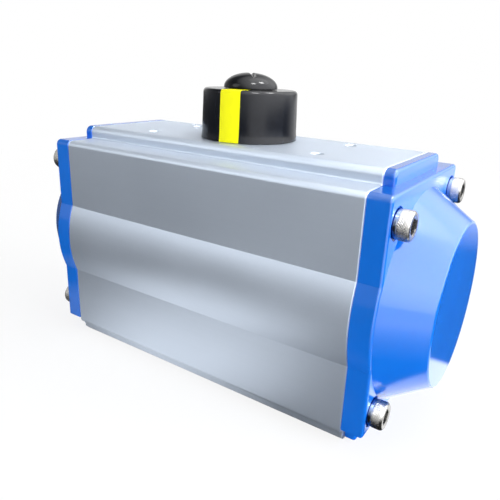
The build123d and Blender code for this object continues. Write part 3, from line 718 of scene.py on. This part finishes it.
rodMesh = threadedRod()
for node in ("stop_screw_right", "stop_screw_left"):
    low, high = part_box(node)
    mesh = rodMesh.copy()
    mesh.transform(Matrix.Translation(((low.x + high.x) / 2, low.y, (low.z + high.z) / 2)) @ Matrix.Rotation(-math.pi / 2, 4, "X"))
    addPiece(node + "_threaded", mesh, bodyOf[node], slotOf[node], (node,))
print("stop screws threaded")


# cut threads in the tapped holes: a ridge that winds down each wall
tappedHoles = {
    "accessory": {"radius": 0.0021, "pitch": 0.0008, "length": 0.0100, "width": 0.080, "depth": 0.030, "turn": 0.0},
    "large": {"radius": 0.0034, "pitch": 0.00125, "length": 0.0120, "width": 0.070 / math.sqrt(2),
              "depth": 0.070 / math.sqrt(2), "turn": 0.0},
    "small": {"radius": 0.0025, "pitch": 0.0010, "length": 0.0090, "width": 0.050 / math.sqrt(2),
              "depth": 0.050 / math.sqrt(2), "turn": 0.0},
    "solenoid": {"radius": 0.0021, "pitch": 0.0008, "length": 0.0070, "width": 0.032, "depth": 0.024, "turn": 0.0},
    "ports": {"radius": 0.0059, "pitch": 0.001337, "length": 0.0085, "width": 0.024, "depth": 0.0, "turn": 0.0},
}


def threadLining(size):
    rows = int(size["length"] / size["pitch"] * 6) + 1
    lining = grown(threadTree, {
        "Radius": size["radius"] - 0.00002, "Depth": size["pitch"] * 0.32, "Length": size["length"],
        "Pitch": size["pitch"], "Starts": 1.0, "Around": 33, "Rows": rows})
    lining.flip_normals()
    for face in lining.polygons:
        face.use_smooth = True
    return lining


def placeLinings():
    holes = tappedHoles
    down = Matrix.Rotation(math.pi, 4, "X")
    back = Matrix.Rotation(math.pi / 2, 4, "X")
    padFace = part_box("body")[1].y
    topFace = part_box("body")[1].z
    centre = 0.048
    places = {
        "accessory": Matrix.Translation((0, 0, topFace - 0.0006)) @ down,
        "large": Matrix.Translation((0, 0, 0.0006)),
        "small": Matrix.Translation((0, 0, 0.0006)),
        "solenoid": Matrix.Translation((0, padFace - 0.0006, centre)) @ back,
        "ports": Matrix.Translation((0, padFace - 0.0006, centre)) @ back,
    }
    for name, size in holes.items():
        count = 1 if size["depth"] == 0.0 else 2
        # the linings take the darkened thread metal: partly painted shade in the tapped holes
        mesh = laidOut(threadLining(size), size["width"], size["depth"], 2, count, places[name], 0.0, 1, cutThreadPaintedShade)
        addPiece(name + "_threads", mesh, "housing", "anodised_aluminium", material=cutThreadPaintedShade)


placeLinings()
print("tapped holes threaded")

# the remaining nodes keep their CAD shape and get their finish
for node, piece in cadNodes.items():
    piece.data.materials.clear()
    piece.data.materials.append(finishes[slotOf[node]])
print("node finishes set")


# studio: pale floor, soft lamps, the photograph's camera
studio = {
    "floorColour": (0.92, 0.925, 0.94), "floorSize": 6.0,
    # how bright glossy faces see the floor: dim near by, paler further back, with lit patches near the right end
    "dimFloor": 0.04, "farFloor": 0.10, "farFrom": 0.25, "farOver": 0.16,
    "sweeps": [
        {"towards": (0.24, 0.97), "spread": (0.85, 0.98), "level": 1.1, "from": 0.25, "over": 0.16},
        {"towards": (0.80, -0.60), "spread": (0.88, 0.975), "level": 2.6, "from": 0.12, "over": 0.14},
    ],
    "patches": [
        {"middle": (-0.020, -0.080), "reach": (0.050, 0.060), "level": 1.1, "edge": 0.8},
        {"middle": (-0.035, -0.062), "reach": (0.085, 0.022), "level": 0.55, "edge": 0.4},
        {"middle": (0.100, 0.0085), "reach": (0.060, 0.034), "level": 1.5, "edge": 0.12},
    ],
    # how bright glossy faces see the room: white along the horizon, dim overhead, one large soft box to the right
    "skyLevel": 0.42, "horizon": 0.54, "overhead": 0.16, "paleBelow": 0.28, "fadeOver": 0.35,
    "softBoxes": [
        {"towards": (0.740, -0.065, 0.669), "level": 5.5, "edgeFrom": 0.09, "edgeTo": 0.866},
        {"towards": (0.385, -0.300, 0.873), "level": 42.0, "edgeFrom": 0.990, "edgeTo": 0.996},
        {"towards": (0.436, 0.220, 0.873), "level": 42.0, "edgeFrom": 0.990, "edgeTo": 0.996},
    ],
    "lamps": [
        {"name": "topSoft", "place": (0.25, 0.25, 0.95), "aim": (0, 0, 0.05), "size": 0.9, "watts": 2.4},
        {"name": "rightSoft", "place": (0.95, 0.18, 0.32), "aim": (0.08, -0.02, 0.07), "size": 1.0, "watts": 18.0,
         "matteOnly": True},
        {"name": "backSoft", "place": (-0.70, 1.20, 0.42), "aim": (0, 0, 0.09), "size": 1.6, "watts": 2.2},
        {"name": "frontSoft", "place": (-0.60, -0.85, 0.55), "aim": (0, 0, 0.05), "size": 0.7, "watts": 3.2},
    ],
}


def paleFloor():
    material, tree, place = newMaterial("paleFloor")
    ray = tree.add("ShaderNodeLightPath")
    tone = noiseAt(tree, place, 3.0, 2.0)
    colour = blendColours(tree, tone * 0.3, studio["floorColour"], (0.95, 0.955, 0.965))
    matte = tree.add("ShaderNodeBsdfPrincipled", {}, {"Base Color": colour, "Roughness": 0.7})["BSDF"]
    spot = tree.add("ShaderNodeSeparateXYZ", {}, {0: place})
    away = (spot[0] ** 2.0 + spot[1] ** 2.0) ** 0.5
    far = ((away - studio["farFrom"]) / studio["farOver"]).clipped(0.0, 1.0)
    lit = studio["dimFloor"] + far * (studio["farFloor"] - studio["dimFloor"])
    for sweep in studio["sweeps"]:
        towards, spread = sweep["towards"], sweep["spread"]
        facing = (spot[0] * towards[0] + spot[1] * towards[1]) / away
        inside = ((facing - spread[0]) / (spread[1] - spread[0])).clipped(0.0, 1.0)
        reached = ((away - sweep["from"]) / sweep["over"]).clipped(0.0, 1.0)
        lit = lit + inside * reached * (sweep["level"] - studio["farFloor"])
    for patch in studio["patches"]:
        across = (spot[0] - patch["middle"][0]) / patch["reach"][0]
        along = (spot[1] - patch["middle"][1]) / patch["reach"][1]
        inside = ((1.0 + patch["edge"] / 2 - (across ** 2.0 + along ** 2.0) ** 0.5) / patch["edge"]).clipped(0.0, 1.0)
        lit = lit + inside * (patch["level"] - studio["dimFloor"])
    glossy = ray["Is Glossy Ray"]
    level = 1.0 - glossy + glossy * lit
    white = tree.add("ShaderNodeEmission", {}, {"Color": (1, 1, 1, 1), "Strength": level})["Emission"]
    viewed = (ray["Is Camera Ray"] + ray["Is Transmission Ray"]).clipped(0.0, 1.0)
    share = viewed * (0.84 + 0.16 * ((away - 0.25) / 0.35).clipped(0.0, 1.0)) + glossy
    mixed = tree.add("ShaderNodeMixShader", {}, {0: share.clipped(0.0, 1.0), 1: matte, 2: white})[0]
    tree.add("ShaderNodeOutputMaterial", {}, {"Surface": mixed})
    return material


def makeFloor():
    half = studio["floorSize"] / 2
    mesh = bpy.data.meshes.new("floor")
    mesh.from_pydata([(-half, -half, -0.0002), (half, -half, -0.0002), (half, half, -0.0002), (-half, half, -0.0002)],
                     [], [(0, 1, 2, 3)])
    floor = bpy.data.objects.new("floor", mesh)
    bpy.context.scene.collection.objects.link(floor)
    mesh.materials.append(paleFloor())


def makeWorld():
    world = bpy.data.worlds.new("studio")
    bpy.context.scene.world = world
    world.use_nodes = True
    world.node_tree.nodes.clear()
    tree = Tree(world.node_tree)
    ray = tree.add("ShaderNodeLightPath")
    seen = (ray["Is Camera Ray"] + ray["Is Transmission Ray"]).clipped(0.0, 1.0)
    glossy = ray["Is Glossy Ray"]
    direction = tree.add("ShaderNodeTexCoord")["Generated"]
    rise = tree.add("ShaderNodeSeparateXYZ", {}, {0: direction})[2]
    dimming = ((rise - studio["paleBelow"]) / studio["fadeOver"]).clipped(0.0, 1.0)
    room = studio["horizon"] - dimming * (studio["horizon"] - studio["overhead"])
    for box in studio["softBoxes"]:
        nearness = tree.add("ShaderNodeVectorMath", {"operation": "DOT_PRODUCT"}, {0: direction, 1: box["towards"]})["Value"]
        inside = ((nearness - box["edgeFrom"]) / (box["edgeTo"] - box["edgeFrom"])).clipped(0.0, 1.0)
        room = room + inside * box["level"]
    level = studio["skyLevel"] * (1.0 - seen - glossy) + seen + glossy * room
    sky = tree.add("ShaderNodeBackground", {}, {"Color": (1, 1, 1, 1), "Strength": level})["Background"]
    tree.add("ShaderNodeOutputWorld", {}, {"Surface": sky})


def makeLamps():
    for lamp in studio["lamps"]:
        light = bpy.data.lights.new(lamp["name"], "AREA")
        light.shape = "DISK"
        light.size = lamp["size"]
        light.energy = lamp["watts"]
        holder = bpy.data.objects.new(lamp["name"], light)
        bpy.context.scene.collection.objects.link(holder)
        holder.location = lamp["place"]
        holder.rotation_euler = (Vector(lamp["aim"]) - Vector(lamp["place"])).to_track_quat("-Z", "Y").to_euler()
        holder.visible_camera = False
        holder.visible_glossy = not lamp.get("matteOnly", False)


# worked out from the photograph's edges and corners
photoView = {
    "place": (0.122878, -0.182885, 0.126848), "turn": -0.5658, "tilt": 0.3228, "roll": 0.0453,
    "focal": 514.88, "centre": (257.72, 238.86), "frame": 500.0,
}


def makeCamera():
    view = photoView
    turn, tilt, roll = view["turn"], view["tilt"], view["roll"]
    ahead = Vector((math.sin(turn) * math.cos(tilt), math.cos(turn) * math.cos(tilt), -math.sin(tilt)))
    level = Vector((math.cos(turn), -math.sin(turn), 0.0))
    upright = level.cross(ahead)
    right = math.cos(roll) * level + math.sin(roll) * upright
    above = -math.sin(roll) * level + math.cos(roll) * upright
    data = bpy.data.cameras.new("photoCamera")
    data.sensor_width = 36.0
    data.sensor_fit = "HORIZONTAL"
    data.lens = view["focal"] / view["frame"] * data.sensor_width
    data.shift_x = (view["frame"] / 2 - view["centre"][0]) / view["frame"]
    data.shift_y = (view["centre"][1] - view["frame"] / 2) / view["frame"]
    data.clip_start = 0.01
    camera = bpy.data.objects.new("photoCamera", data)
    bpy.context.scene.collection.objects.link(camera)
    facing = Matrix((right, above, -ahead)).transposed()
    camera.matrix_world = Matrix.Translation(view["place"]) @ facing.to_4x4()
    bpy.context.scene.camera = camera


makeFloor()
makeWorld()
makeLamps()
makeCamera()
bpy.context.scene.view_settings.view_transform = "Standard"
print("studio ready")
